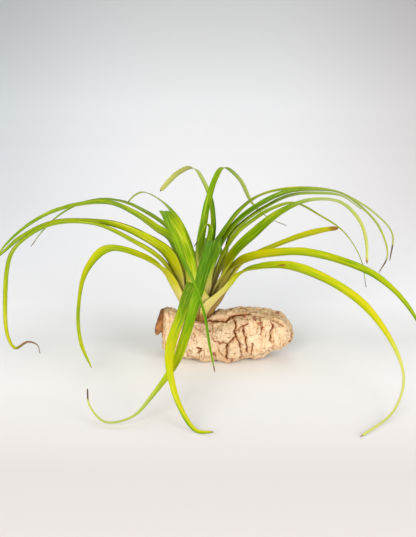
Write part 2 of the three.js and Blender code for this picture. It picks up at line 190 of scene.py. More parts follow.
# leaves: millimetres from the rosette's foot, x out along the leaf's heading, y aside, z up
rosette = {
    "foot": (-20, 2, 37), "innerRadius": 1.8, "whorlSpacing": 1, "outerWhorl": 8,
    "innerHeight": 14, "innerTop": 40, "outerTop": 18, "innerLean": 3, "outerLean": 32,
    "halfAngle": 75, "angleStep": 3.5, "gapAngle": 4, "swell": 4,
}
blade = {
    "thickness": 0.62, "marginShare": 0.35, "settling": 26, "wrapReach": 1.1, "cupAtTip": 0.3,
    "flattening": 18, "across": 14, "sheathStretches": 2, "ringsPerSheathStretch": 5, "ringsPerStretch": 9,
    "groove": 0.45, "grooveHalf": 1.1, "ripple": 0.35, "sway": 0.35, "unevenness": 0.035, "narrowest": 1.2,
}
# each leaf, from foot to tip: turns of its blade in degrees, widths, a route of out, up and aside,
# and tones from 0 for deep green to 1 for yellow. wrap turns its sheath round the stem, faded says where
# its end pales and how much, thread is the length of its dry tip, rust that of its brown end, marks are
# brown spots as length and size, and seam is the place across it where the next sheath's edge shows
leaves = {
    "leaf_right_low": {
        "whorl": 8, "heading": 328, "wrap": -33, "cup": 58, "turns": [-10, 10, 30, 45, 45, 30, 15],
        "widths": [16, 13, 15, 13, 9.5, 8, 5, 2.5, 2, 2, 2],
        "route": [[42, 50, 2], [62, 58, 2], [91, 62, 4], [125, 55, 6], [161, 38, 6], [192, 8, 2],
                  [208, -15, -12], [214, -31, -48], [207, -36, -98]],
        "tone": [0.8, 0.75, 0.6, 0.7, 0.75, 0.95, 0.95, 0.9, 0.85, 0.85], "faded": (0.6, 0.55),
        "marks": [(100, 1.1), (103.5, 1.2)], "seam": 0.15,
    },
    "leaf_left_low": {
        "whorl": 8, "heading": 205, "cup": 56, "turns": [15, 0, -20, -25, -15, -25, -45],
        "widths": [20, 20, 20, 15, 11.5, 11, 9, 7, 6, 5, 1.5],
        "route": [[38, 52, 2], [64, 69, 0], [86, 76, -2], [96, 74, -2], [110, 55, -7], [118, 20, -6],
                  [118, -8, -1], [112, -30, 8]],
        "tone": [0.9, 1, 0.95, 0.75, 0.6, 0.7, 0.7, 0.6, 0.7, 0.7],
    },
    "leaf_back_low": {
        "whorl": 8, "heading": 92, "cup": 52, "turns": [0, 0, -10, -25],
        "widths": [16.5, 14, 12, 9.5, 6, 1.2],
        "route": [[41, 45, 0], [62, 50, 0], [92, 44, 2], [124, 26, 5], [146, 2, 8], [154, -24, 6]],
        "tone": [0.5, 0.5, 0.5, 0.6, 0.7, 0.8],
    },
    "leaf_right_yellow": {
        "whorl": 7, "heading": 12, "cup": 52, "turns": [-15, -10, 0, 10, 25, 35],
        "widths": [14.5, 13.5, 13, 10.5, 9, 5],
        "route": [[38, 50, 0], [54, 60, 0], [74, 68, -1], [98, 76, -1], [117, 80, 0], [135, 82, 0]],
        "tone": [0.9, 0.9, 1, 1, 0.95, 0.9, 0.85, 0.9, 1, 1], "rust": 14,
    },
    "leaf_left_long": {
        "whorl": 7, "heading": 184, "cup": 58, "turns": [0, 20, 18, 24, 28, 42, 50],
        "widths": [16, 14, 13, 12.5, 11, 11, 10, 8.5, 6, 2.8, 1.2],
        "route": [[34, 55, 0], [64, 77, 0], [98, 94, 4], [134, 95, 8], [158, 84, 11], [173, 68, 12],
                  [180, 28, 14], [179, -8, 18], [173, -19, 19], [162, -15, 14], [154, -20, 8],
                  [152, -30, 4]],
        "tone": [0.9, 0.9, 0.65, 0.5, 0.5, 0.4, 0.5, 0.7, 0.9, 1], "thread": 46, "margin": 0.8,
    },
    "leaf_front_low": {
        "whorl": 7, "heading": 268, "cup": 46, "turns": [0, 0, -5, -15, 0, 15, 25],
        "widths": [15, 13.5, 13, 11, 9, 9, 9, 6, 5, 4, 1.5],
        "route": [[28, 31, 0], [42, 43, -2], [57, 50, -3], [81, 47, -7], [111, 35, -12],
                  [140, 20, -18], [157, 6, -18], [170, -18, -10], [182, -35, 4], [190, -33, 18]],
        "tone": [0.8, 0.8, 0.4, 0.3, 0.4, 0.65, 0.85, 0.85, 0.75, 0.75],
    },
    "leaf_right_long": {
        "whorl": 6, "heading": 354, "cup": 56, "turns": [-20, 15, 15, 20, 25, 25, 25],
        "widths": [18.5, 18, 15, 12, 8, 1.3],
        "route": [[30, 51, 0], [46, 60, 0], [70, 65, 0], [100, 66, 0], [134, 58, 0], [164, 45, 0],
                  [188, 24, 0], [204, 0, 0], [211, -28, 0]],
        "tone": [1, 1, 0.95, 0.8, 0.62, 0.55, 0.6, 0.55, 0.55],
    },
    "leaf_left_wide": {
        "whorl": 6, "heading": 187, "cup": 56, "turns": [20, 40, 35, 24, 20, 30, 25],
        "widths": [20, 19.5, 14.5, 10, 7, 1.3],
        "route": [[30, 62, 0], [53, 80, 0], [79, 91, -6], [107, 94, -13], [135, 93, -18],
                  [166, 79, -19], [183, 65, -19], [204, 49, -21]],
        "tone": [1, 0.95, 0.75, 0.62, 0.55, 0.6, 0.35, 0.3, 0.35], "margin": 0.9,
    },
    "leaf_back_middle": {
        "whorl": 6, "heading": 84, "cup": 52, "turns": [0, 0, 10, 25],
        "widths": [16, 14, 12, 9.5, 6, 1.2],
        "route": [[31, 51, 0], [46, 60, 0], [68, 61, 0], [96, 55, -3], [122, 36, -8], [140, 8, -14]],
        "tone": [0.5, 0.4, 0.3, 0.3, 0.4],
    },
    "leaf_right_tall": {
        "whorl": 5, "heading": 347, "cup": 58, "turns": [-10, 25, 25, 10, 0, 20, 35],
        "widths": [18.5, 19, 20, 20, 19, 14, 10, 9.5, 7, 5.5, 3],
        "route": [[32, 64, -1], [53, 86, 0], [76, 106, 0], [102, 118, -1], [128, 117, 0],
                  [145, 102, 0], [152, 84, 0], [154, 62, 0]],
        "tone": [1, 1, 0.8, 0.35, 0.38, 0.5, 0.55, 0.6, 0.8, 1], "faded": (0.52, 0.5), "rust": 7,
    },
    "leaf_left_high": {
        "whorl": 5, "heading": 162, "cup": 58, "turns": [15, 50, 35, 20, 20, 20, 25],
        "widths": [20, 20, 15, 11.5, 6.5, 1.3],
        "route": [[29, 74, 0], [44, 85, 2], [63, 97, 2], [89, 106, 0], [118, 104, 0], [152, 94, 0],
                  [181, 78, 0], [204, 59, 0], [220, 40, 0]],
        "tone": [1, 0.8, 0.3, 0.4, 0.35, 0.4, 0.4, 0.3, 0.4, 0.3],
    },
    "leaf_front_fold": {
        "whorl": 5, "heading": 243, "cup": 50, "turns": [0, 0, 0, 5, -10, -15, -20],
        "widths": [15, 14, 13.5, 12, 7.2, 6, 5, 3, 2.6, 2.5, 1.2],
        "route": [[27, 62, 2], [36, 86, -2], [44, 104, -9], [50, 111, -10], [59, 108, -3],
                  [74, 96, 13], [90, 80, 30], [106, 68, 48], [118, 47, 64], [124, 22, 72], [126, 0, 78]],
        "tone": [0.8, 0.6, 0.5, 0.45, 0.28, 0.4, 0.28, 0.15, 0.2, 0.3], "thread": 8,
    },
    "leaf_right_spread": {
        "whorl": 4, "heading": 18, "cup": 58, "turns": [-15, -15, -10, 5, 15, 30],
        "widths": [15, 13, 12, 9, 6.5, 1.3],
        "route": [[25, 59, 1], [31, 77, 4], [46, 91, 4], [67, 103, 5], [92, 113, 3], [120, 114, 0],
                  [144, 110, 1], [165, 96, 0]],
        "tone": [1, 1, 0.7, 0.45, 0.45, 0.35, 0.4, 0.5, 0.5], "faded": (0.55, 0.4),
    },
    "leaf_left_arch": {
        "whorl": 4, "heading": 147, "cup": 58, "turns": [20, 20, 20, 10, 0, -10],
        "widths": [15, 13, 11, 8.5, 4.5, 1.2],
        "route": [[24, 70, 0], [38, 85, 1], [62, 97, 2], [88, 104, 1], [115, 104, 0], [146, 96, 0],
                  [176, 80, 0], [198, 62, 0], [214, 44, 1]],
        "tone": [0.6, 0.4, 0.4, 0.42, 0.45, 0.3, 0.35, 0.35, 0.4], "thread": 14,
    },
    "leaf_front_long": {
        "whorl": 4, "heading": 285, "cup": 54, "turns": [0, 0, -10, -15, -5, 10, 15],
        "widths": [15.5, 15, 14, 13.5, 10.5, 9, 9, 5.5, 3.5, 2.3, 1.2],
        "route": [[22, 53, 1], [35, 73, 4], [46, 86, 0], [64, 78, -9], [80, 66, -18], [99, 46, -30],
                  [116, 22, -43], [127, 4, -54], [140, -16, -75], [151, -29, -95], [146, -33, -116],
                  [132, -23, -126], [124, -12, -126]],
        "tone": [1, 0.6, 0.05, 0, 0.1, 0.4, 0.75, 0.6, 0.75, 0.9], "faded": (0.68, 0.4), "thread": 12,
    },
    "leaf_right_short": {
        "whorl": 3, "heading": 4, "cup": 52, "turns": [0, -5, 5, 5],
        "widths": [12, 12, 11, 7, 5, 1.3],
        "route": [[21, 62, -1], [34, 83, -5], [50, 96, -4], [68, 106, -2], [88, 110, 0], [112, 98, 0],
                  [135, 82, 0], [152, 56, 0], [158, 28, -1]],
        "tone": [1, 0.85, 0.55, 0.5, 0.6, 0.7, 0.7, 0.6], "thread": 8,
    },
    "leaf_back_left_short": {
        "whorl": 3, "heading": 126, "cup": 52, "turns": [5, 5, 15, 30, 15, 0],
        "widths": [13, 11, 8, 5.5, 4.5, 1.2],
        "route": [[20, 66, 0], [36, 88, 0], [54, 100, 1], [75, 106, 0], [98, 108, 0], [116, 102, 0],
                  [132, 91, 0]],
        "tone": [0.6, 0.5, 0.4, 0.6, 0.5, 0.4, 0.4, 0.5], "faded": (0.5, 0.5), "thread": 12,
    },
    "leaf_right_arch": {
        "whorl": 2, "heading": 22, "cup": 56, "turns": [-5, -10, 0, 0, -5, 0],
        "widths": [16, 13.5, 12.5, 10, 5.5, 1.2],
        "route": [[17, 64, 0], [34, 88, -1], [54, 103, -2], [86, 116, -3], [115, 117, -2],
                  [146, 112, -2], [173, 94, -1], [194, 72, 0], [203, 44, -2], [196, 26, 1]],
        "tone": [0.8, 0.25, 0.5, 0.15, 0.35, 0.5, 0.5, 0.6, 0.6, 0.9], "faded": (0.5, 0.4), "thread": 22,
    },
    "leaf_back_left_tall": {
        "whorl": 2, "heading": 108, "cup": 52, "turns": [20, 35, 30, 30, 30, 40],
        "widths": [13, 9.5, 8.5, 8.5, 7, 4.5],
        "route": [[13, 58, -9], [20, 77, -18], [34, 106, -21], [50, 124, -18], [67, 134, -14],
                  [91, 126, -5], [112, 105, 8]],
        "tone": [0.4, 0.4, 0.35, 0.3, 0.35, 0.55, 0.65, 1, 1, 0.9], "faded": (0.5, 0.6),
    },
    "leaf_right_high": {
        "whorl": 1, "heading": 32, "cup": 56, "turns": [-15, -20, -20, -5, 0, 0],
        "widths": [13.5, 11.5, 9, 7.5, 5, 1.3],
        "route": [[12, 64, 0], [24, 81, -2], [42, 100, -2], [65, 112, 0], [96, 116, 0], [140, 113, -2],
                  [174, 103, 2], [210, 82, -2], [236, 56, -4], [237, 26, -1]],
        "tone": [0.3, 0.2, 0.4, 0.5, 0.55, 0.6, 0.65, 0.7, 0.7, 0.8], "faded": (0.5, 0.5), "thread": 24,
    },
    "leaf_back_right_tall": {
        "whorl": 0, "heading": 66, "cup": 52, "turns": [-15, -15, -15, -10, 0, 15],
        "widths": [12, 10.5, 7.5, 7, 5, 1.2],
        "route": [[7, 66, 3], [13, 89, 2], [22, 108, 2], [34, 128, 0], [49, 138, -2], [68, 124, -11],
                  [90, 97, -16], [113, 79, -26], [130, 69, -39]],
        "tone": [0.3, 0.3, 0.35, 0.35, 0.45, 0.35, 0.65, 0.55, 0.5], "faded": (0.5, 0.5), "thread": 16,
    },
    "leaf_inner_young": {
        "whorl": 0, "heading": 252, "cup": 56, "turns": [0, 0, 5, 10],
        "widths": [9, 8, 6.5, 5, 3, 1.2],
        "route": [[7, 60, 6], [10, 80, 12], [16, 93, 15], [23, 96, 12], [30, 86, 10], [36, 78, 6]],
        "tone": [0.5, 0.5, 0.4, 0.3, 0.25, 0.3, 0.4, 0.5], "thread": 8,
    },
}


def sheathHeading(leaf):
    return leaf["heading"] + leaf.get("wrap", 0)


def sheathOf(leaf):
    # lean, radius, foot and top of a leaf's sheath, and half of the angle that it wraps round the stem
    share = leaf["whorl"] / rosette["outerWhorl"]
    lean = math.radians(mix(rosette["innerLean"], rosette["outerLean"], share))
    radius = rosette["innerRadius"] + rosette["whorlSpacing"] * leaf["whorl"]
    height = mix(rosette["innerHeight"], 0, share)
    top = mix(rosette["innerTop"], rosette["outerTop"], share)
    halfAngle = rosette["halfAngle"] - rosette["angleStep"] * leaf["whorl"]
    for other in leaves.values():
        if other is not leaf and other["whorl"] == leaf["whorl"]:
            apart = abs((sheathHeading(other) - sheathHeading(leaf) + 540) % 360 - 180)
            halfAngle = min(halfAngle, apart / 2 - rosette["gapAngle"])
    return lean, radius, height, top, math.radians(halfAngle)


def leafPoints(leaf, lean, radius, height, top):
    # the curve of a leaf's middle line: three points up its sheath, then its route
    levels = (height, (height + top) / 2, top)
    points = [(radius + (level - height) * math.tan(lean), 0, level) for level in levels]
    points += [(out, aside, up) for out, up, aside in leaf["route"]]
    return [Vector(p) for p in points]


def onCurve(points, share):
    # point and direction on a centripetal curve through the points
    place = share * (len(points) - 1)
    index = min(int(place), len(points) - 2)
    part = place - index
    b, c = points[index], points[index + 1]
    a = points[index - 1] if index > 0 else 2 * b - c
    d = points[index + 2] if index + 2 < len(points) else 2 * c - b
    before, here, after = (max((q - p).length, 1e-6) ** 0.5 for p, q in ((a, b), (b, c), (c, d)))
    leave = ((b - a) / before - (c - a) / (before + here) + (c - b) / here) * here
    arrive = ((c - b) / here - (d - b) / (here + after) + (d - c) / after) * here
    square = -3 * b + 3 * c - 2 * leave - arrive
    cube = 2 * b - 2 * c + leave + arrive
    point = b + leave * part + square * part ** 2 + cube * part ** 3
    direction = leave + 2 * square * part + 3 * cube * part ** 2
    return point, direction.normalized()


def leafStations(points):
    # places along a leaf's curve, with the length up to each and how sharply it bends there
    stretches = len(points) - 1
    shares = []
    for stretch in range(stretches):
        inSheath = stretch < blade["sheathStretches"]
        rings = blade["ringsPerSheathStretch"] if inSheath else blade["ringsPerStretch"]
        shares += [(stretch + ring / rings) / stretches for ring in range(rings)]
    shares.append(1.0)
    placed = [onCurve(points, share) for share in shares]
    lengths = [0.0]
    for (point, _), (former, _) in zip(placed[1:], placed):
        lengths.append(lengths[-1] + (point - former).length)
    bends = []
    for index in range(len(placed)):
        first, last = max(index - 3, 0), min(index + 3, len(placed) - 1)
        turned = placed[first][1].angle(placed[last][1], 0.0)
        bends.append(turned / (lengths[last] - lengths[first]))
    sheathEnd = lengths[blade["sheathStretches"] * blade["ringsPerSheathStretch"]]
    return placed, lengths, bends, sheathEnd


def leafRings(name, leaf):
    # for every station: how to place a point at -1 to 1 across the blade
    lean, radius, height, top, halfAngle = sheathOf(leaf)
    placed, lengths, bends, sheathEnd = leafStations(leafPoints(leaf, lean, radius, height, top))
    whole = lengths[-1]
    outerShare = leaf["whorl"] / rosette["outerWhorl"]
    footHalf = radius * halfAngle
    seed = sum(map(ord, name)) * 0.37
    acrossLine = Vector((0, 1, 0))
    rings = []
    for (point, tangent), length, bend in zip(placed, lengths, bends):
        acrossLine = (acrossLine - acrossLine.dot(tangent) * tangent).normalized()
        share = max(0.0, (length - sheathEnd) / (whole - sheathEnd))
        settled = ease(length - sheathEnd, 0, blade["settling"])
        turn = settled * math.radians(listed(leaf["turns"], share))
        side = Matrix.Rotation(turn, 3, tangent) @ acrossLine
        upper = tangent.cross(side)
        inward = Vector((-point.x, -point.y, 0)).normalized()
        inward = inward.lerp(upper, settled).normalized()
        bladeHalf = listed(leaf["widths"], share) / 2
        widened = ease(length, 0, sheathEnd + blade["settling"])
        swell = rosette["swell"] * outerShare * math.sin(math.pi * widened) ** 2
        half = mix(footHalf, bladeHalf, widened) + swell
        sheathCup = half / math.hypot(point.x, point.y)
        flattened = 1 + (bend * blade["flattening"]) ** 2
        bladeCup = math.radians(leaf["cup"]) * mix(1, blade["cupAtTip"], share) / flattened
        cup = mix(sheathCup, bladeCup, settled)
        ring = {"point": point, "side": side, "inward": inward, "half": half, "cup": cup}
        unwrapped = ease(length, sheathEnd / 2, sheathEnd + blade["wrapReach"] * blade["settling"])
        ring["wrap"] = Matrix.Rotation(math.radians(leaf.get("wrap", 0)) * (1 - unwrapped), 3, "Z")
        ring.update(length=length, settled=settled, left=whole - length, seed=seed)
        rings.append(ring)
    return rings


def onBlade(ring, v):
    # a point of the middle of the blade's thickness, at v from -1 to 1 across it
    half, left, settled = ring["half"], ring["left"], ring["settled"]
    length, seed = ring["length"], ring["seed"]
    rounding = max(half, blade["narrowest"]) * 1.6
    half *= math.sqrt(max(1 - (1 - min(left / rounding, 1)) ** 2, 0.02))
    half *= 1 + blade["unevenness"] * settled * noise.noise(Vector((length / 22, seed, v)))
    radius = half / ring["cup"]
    angle = ring["cup"] * v
    keel = -0.5 * settled * radius * (1 - math.cos(ring["cup"]))
    aside = radius * math.sin(angle)
    rise = radius * (1 - math.cos(angle)) + keel + blade["thickness"] / 2
    slim = min(half / 8, 1) * settled
    rise -= blade["groove"] * slim * math.exp(-(aside / blade["grooveHalf"]) ** 2)
    rise += blade["ripple"] * slim * v * v * noise.noise(Vector((length / 13, seed + 7, 3 * v)))
    sway = blade["sway"] * settled * noise.noise(Vector((length / 30, seed + 19, 0)))
    return ring["wrap"] @ (ring["point"] + (aside + sway) * ring["side"] + rise * ring["inward"])


# where a leaf changes colour: millimetres from its foot, or from its tip for the dry thread
changes = {
    # throat: the length over which inner leaves' upper faces take painted shade and brown streaks inside
    # the rosette
    "drift": 8, "brownFoot": (2, 24), "throat": (14, 44), "pale": (22, 66), "seam": (34, 48), "thread": 2,
    "fadeReach": 0.15, "markAside": 0.3, "throatWhorls": 5,
}


def leafLooks(leaf, ring, v):
    # how yellow, dry and pale the blade is at a place, for its finishes
    length, left = ring["length"], ring["left"]
    share = length / (left + length)
    wander = noise.noise(Vector((length / 16, v * 1.5, ring["seed"])))
    drift = changes["drift"] * wander
    tone = listed(leaf["tone"], share) + 0.14 * wander
    pale = 1 - ease(length + drift, *changes["pale"])
    foot = 1 - ease(length + drift / 2, *changes["brownFoot"])
    thread = leaf.get("thread", changes["thread"])
    dry = 1 - ease(left + drift / 4, thread * 0.45, thread)
    if "rust" in leaf:
        foot = max(foot, 1 - ease(left + drift / 2, leaf["rust"] * 0.2, leaf["rust"]))
    for place, size in leaf.get("marks", []):
        gap = math.hypot(length - place, 5 * (v - changes["markAside"]))
        foot = max(foot, 1.6 - 1.6 * ease(gap, size * 0.5, size * 1.2))
    if "seam" in leaf:  # where the next sheath's edge shows on this one
        shown = 1 - ease(length, *changes["seam"])
        foot = max(foot, 0.75 * shown * ease(v, leaf["seam"] - 0.04, leaf["seam"] + 0.04))
        dry = max(dry, 0.85 * shown * math.exp(-((v - leaf["seam"]) / 0.12) ** 2))
    # painted shade inside the rosette's throat, fading out along the leaf, for the inner whorls only
    throat = (1 - ease(length, *changes["throat"])) * (leaf["whorl"] < changes["throatWhorls"])
    start, amount = leaf.get("faded", (0.5, 0))  # where along the leaf its end begins to pale, and how much
    faded = amount * ease(share, start, start + changes["fadeReach"])
    return {"tone": tone, "pale": pale, "foot": foot, "dry": dry, "throat": throat, "faded": faded}


def makeLeaf(name, leaf, finishes):
    rings = leafRings(name, leaf)
    count = len(rings) - 1
    bm = bmesh.new()
    bm.loops.layers.uv.new("blade")
    bmesh.ops.create_grid(bm, x_segments=count, y_segments=blade["across"], size=0.5, calc_uvs=True)
    channels = ("tone", "pale", "foot", "dry", "throat", "faded")
    channels += ("along", "aside", "edge", "high", "margin")
    layers = {channel: bm.verts.layers.float.new(channel) for channel in channels}
    weights = bm.verts.layers.deform.verify()
    heading = Matrix.Rotation(math.radians(leaf["heading"]), 3, "Z")
    foot = Vector(rosette["foot"])
    for vert in bm.verts:
        ring = rings[round((vert.co.x + 0.5) * count)]
        v = 2 * vert.co.y
        looks = leafLooks(leaf, ring, v)
        # high says how far up a place lies across the blade as it hangs; the finish uses it for painted
        # light on the upper edge and painted shade on the lower edge
        looks.update(along=ring["length"], aside=v * ring["half"], edge=abs(v), high=v * ring["side"].z)
        looks["margin"] = max(leaf.get("margin", 0.25), 0.9 * looks["pale"])
        for channel in channels:
            vert[layers[channel]] = looks[channel]
        vert[weights][0] = 1 - abs(v) ** 3
        vert.co = (foot + heading @ onBlade(ring, v)) * mm
    for face in bm.faces:
        face.smooth = True
    for edge in bm.edges:
        edge.smooth = not edge.is_boundary
    mesh = bpy.data.meshes.new(name + "_blade")
    bm.to_mesh(mesh)
    bm.free()
    piece = addObject(name + "_blade", mesh)
    piece.vertex_groups.new(name="middle")
    wall = piece.modifiers.new("wall", "SOLIDIFY")
    wall.thickness = blade["thickness"] * mm
    wall.offset = 0
    wall.vertex_group = "middle"
    wall.thickness_vertex_group = blade["marginShare"]
    wall.use_quality_normals = True
    wall.material_offset = 1
    wall.material_offset_rim = 1
    for finish in finishes:
        mesh.materials.append(finish)
    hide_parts(name)
    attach(piece, "root")


leafColours = {
    "upper": ["447000", "648C00", "98A800", "B6AC00"], "under": ["4E7E00", "749800", "A2AE04", "B8AE00"],
    # throat: upper is painted shade with brown streaks deep in the rosette, under is a tan base colour
    "throat": {"upper": "2A2200", "under": "9A8A40"},
    "pale": {"upper": "E8DE6C", "under": "CABF60"}, "sheath": "D0BE72", "foot": "865020",
    # shade colours the lower edge of a blade as painted shade
    "dry": "8A6A4C", "dryDark": "4A382C", "margin": "3E260A", "shade": "3E5E00",
    "faded": "BCC47C", "scales": "C0CE58",
}


def leafFinish(side):
    # green to yellow along the blade, pale and brown at its foot, dry at its tip
    finish = Finish("leaf_" + side)
    tint = {key: colour(code) for key, code in leafColours.items() if isinstance(code, str)}
    along, aside, edge = (finish.attribute(key) for key in ("along", "aside", "edge"))
    where = finish.place((1, 1, 1))
    lines = finish.noise(finish.vector(along * 0.02, aside * 2.6, 0.0), 1.0, 3.0, 0.6)
    streaks = finish.noise(finish.vector(along * 0.04, aside * 0.75, 4.0), 1.0, 2.0)
    clouds = finish.noise(where, 70.0, 4.0, 0.6)
    scales = finish.noise(finish.vector(along * 2.2, aside * 5.0, 9.0), 1.0, 2.0, 0.7)
    high = finish.attribute("high")
    tone = finish.attribute("tone") + (streaks - 0.5) * 1.1 + (lines - 0.5) * 0.9 + (clouds - 0.5) * 0.3
    # painted light: the upper edge of a blade lighter, by how high it lies across the blade
    tone = tone + high * 0.3
    stops = [(place, colour(code)) for place, code in zip((0.0, 0.35, 0.65, 1.0), leafColours[side])]
    leafy = finish.node("ShaderNodeValToRGB", {"stops": stops}, {"Fac": tone})
    # painted shade: the lower edge of a green blade darker, less so on yellow ones
    paintedLowerShade = (high * -1.0).between(0.05, 0.6) * (1.0 - tone).between(0.0, 0.5)
    leafy = finish.blend(paintedLowerShade * 0.6, leafy, tint["shade"])
    faded = finish.attribute("faded") * (streaks * 0.6 + lines * 0.6 + 0.4)
    leafy = finish.blend(faded, leafy, tint["faded"])
    # throat: painted shade with brown streaks on the upper face deep in the rosette, a tan base colour on
    # the under face
    throat = finish.attribute("throat") * streaks.between(0.2, 0.6) * (1.0 if side == "under" else 0.3)
    leafy = finish.blend(throat, leafy, colour(leafColours["throat"][side]))
    paleness = (finish.attribute("pale") + (streaks - 0.5) * 0.7) * (1.0 if side == "under" else 1.1)
    leafy = finish.blend(paleness.between(0.1, 0.95) * 0.85, leafy, colour(leafColours["pale"][side]))
    leafy = finish.blend(paleness.between(0.6, 1.0), leafy, tint["sheath"])
    # pale lengthwise streaks: partly the leaf's pale scales, partly painted sheen
    sheenAndScaleStreaks = (streaks - 0.5 + (lines - 0.5) * 0.8).between(0.05, 0.16) * (0.4 if side == "under" else 0.12)
    leafy = finish.blend(sheenAndScaleStreaks, leafy, tint["scales"])
    footed = finish.attribute("foot") + (clouds - 0.5) * 0.6 + (lines - 0.5) * 0.5
    leafy = finish.blend(footed.between(0.1, 1.0) * 0.85, leafy, tint["foot"])
    rim = edge.between(0.86, 0.98) * finish.attribute("margin") * clouds.between(0.3, 0.55)
    leafy = finish.blend(rim, leafy, tint["margin"])
    dusty = scales.between(0.55, 0.8) * (0.22 if side == "under" else 0.08)
    leafy = finish.blend(dusty, leafy, tint["scales"])
    specks = finish.noise(where, 900.0, 2.0, 0.5).between(0.68, 0.76) * 0.35
    leafy = finish.blend(specks, leafy, tint["margin"])
    dried = finish.blend(clouds.between(0.35, 0.65), tint["dry"], tint["dryDark"])
    dry = (finish.attribute("dry") + (clouds - 0.5) * 0.3).between(0.2, 0.8)
    leafy = finish.blend(dry, leafy, dried)
    rough = 0.36 + lines * 0.12 + dry * 0.35 + scales * 0.08
    relief = finish.bump(lines + scales * 0.25, 0.4, 0.0003)
    inputs = {"Base Color": leafy, "Roughness": rough, "Normal": relief, "Specular IOR Level": 0.1}
    return finish.finish(inputs)


leafFinishes = [leafFinish("upper"), leafFinish("under")]
for name, leaf in leaves.items():
    makeLeaf(name, leaf, leafFinishes)
print("leaves made:", len(leaves))


# cork bark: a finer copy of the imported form, with fissures, ridges, plates and grain
bark = {
    "voxel": 0.62, "smoothings": 3, "lumps": 0.8, "grain": 0.42, "plates": 0.8, "netDepth": 1.2,
    "netWidth": 0.08, "fissureDepth": 2.4, "raggedness": 1.1, "slant": 14, "seatRadius": 11.5,
    "hollowRadius": 15, "hollowDepth": 5, "flakeRight": -53.5, "flakeFoot": 25, "lumpRight": -52.5,
    "lumpFoot": 39, "flatTop": 0.6,
}
# routes and places over the front: millimetres across, and up its slant
fissures = [  # half width, depth share, route
    (0.8, 0.9, [(-11, 34), (-7, 34.5), (3, 35.5), (8, 38), (13, 40), (19, 41), (26, 42)]),
    (0.7, 1.0, [(11, 37), (13, 31), (12, 26), (13, 20), (9, 17), (6, 14), (4, 11), (4, 5), (4, 0)]),
    (0.7, 0.8, [(13, 20), (15, 17), (17, 12), (18, 6), (18, -2)]),
    (0.5, 0.8, [(13, 26), (17, 29), (20, 31), (24, 34)]),
    (0.6, 0.9, [(19, 31), (20, 26), (22, 20), (22, 13), (23, 6)]),
    (0.6, 0.8, [(45, 36), (47, 32), (46, 26), (45, 19), (46, 15)]),
    (0.6, 0.8, [(28, 14), (28, 8), (27, 2)]),
    (0.5, 0.6, [(-9, 32), (-9, 27), (-10, 21), (-7, 16.5)]),
    (0.5, 0.7, [(-7, 16.5), (-3, 15), (2, 15.5), (6, 14.5)]),
    (0.5, 0.6, [(-28, 32), (-25, 29), (-20, 26), (-17, 23)]),
    (0.4, 0.8, [(-26, 24), (-25, 22), (-25, 20)]),
    (0.5, 0.9, [(-23, 10), (-21, 9), (-19, 9.5), (-20, 7), (-23, 6)]),
    (0.4, 0.5, [(-33, 6), (-32, 1)]),
    (0.4, 0.5, [(-29, 4), (-28, 0)]),
    (0.4, 0.5, [(-16, 5), (-17, 0)]),
    (0.5, 0.6, [(-4, 13), (-3, 6), (2, 1)]),
    (0.4, 0.6, [(30, 41), (32, 35), (33, 30), (32, 24)]),
    (0.5, 0.7, [(35, 38), (37, 31), (36, 23)]),
    (0.6, 0.7, [(-5, 44.5), (6, 45), (17, 46), (28, 45), (37, 43), (46, 41), (54, 37)]),
    (0.5, 0.7, [(22, 42), (32, 40), (41, 38), (50, 35), (58, 30)]),
    (0.4, 0.5, [(33, 43), (43, 42), (52, 38)]),
    (0.3, 0.5, [(50, 33), (51, 29), (50, 24)]),
    (0.7, 0.7, [(66, 26), (67, 21), (66, 17), (63, 15)]),
    (0.3, 0.4, [(28, 6), (33, 8), (39, 10), (43, 15)]),
    (1.0, 0.9, [(-24, 35), (-19, 34), (-12, 35)]),
    (0.4, 0.5, [(-53, 39), (-53, 30), (-54, 18), (-52, 6)]),
]
ridges = [  # half width, height, route
    (2.6, 1.3, [(-9, 37.5), (3, 39), (13, 43), (20, 44)]),
    (7.0, 0.9, [(1, 25), (2, 23)]),
    (6.0, 1.5, [(11, 10), (11, 3)]),
    (2.2, 1.1, [(21, 38), (22, 39)]),
    (3.0, 0.7, [(34, 41), (46, 38), (56, 34)]),
    (2.2, 0.9, [(-54, 41), (-54, 44)]),
    (1.8, 0.9, [(-57, 38), (-56, 39)]),
    (4.0, 0.8, [(33, 14), (34, 22)]),
]
stains = [  # red-brown patches: radius, middle
    (2.6, (21, 38.5)), (2.6, (30, 38)), (2.8, (35, 33)), (2.4, (37, 29)), (1.8, (20, 26)), (1.6, (24, 33)),
    (2.2, (-2, 14.5)), (2.4, (5, 1)), (2.6, (9, -1)), (2.0, (-21, 9)), (2.6, (-15, 34)), (3.0, (53, 42)),
    (2.2, (66, 22)), (2.0, (65, 16)), (2.6, (0, 46)), (1.8, (-11, 26)), (2.4, (-7, 4)), (2.0, (47, 31)),
]


def barkMesh():
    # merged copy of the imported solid, made an even fine net
    bm = bmesh.new()
    bm.from_mesh(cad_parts["cork_bark"].data)
    bmesh.ops.remove_doubles(bm, verts=bm.verts, dist=1e-6)
    mesh = bpy.data.meshes.new("bark_rough")
    bm.to_mesh(mesh)
    bm.free()
    rough = addObject("bark_rough", mesh)
    net = rough.modifiers.new("net", "REMESH")
    net.mode = "VOXEL"
    net.voxel_size = bark["voxel"] * mm
    net.use_smooth_shade = True
    graph = bpy.context.evaluated_depsgraph_get()
    fine = bpy.data.meshes.new_from_object(rough.evaluated_get(graph))
    bpy.data.objects.remove(rough)
    bm = bmesh.new()
    bm.from_mesh(fine)
    allWays = {"use_axis_x": True, "use_axis_y": True, "use_axis_z": True}
    for _ in range(bark["smoothings"]):
        bmesh.ops.smooth_vert(bm, verts=bm.verts, factor=0.5, **allWays)
    bm.to_mesh(fine)
    bm.free()
    return fine


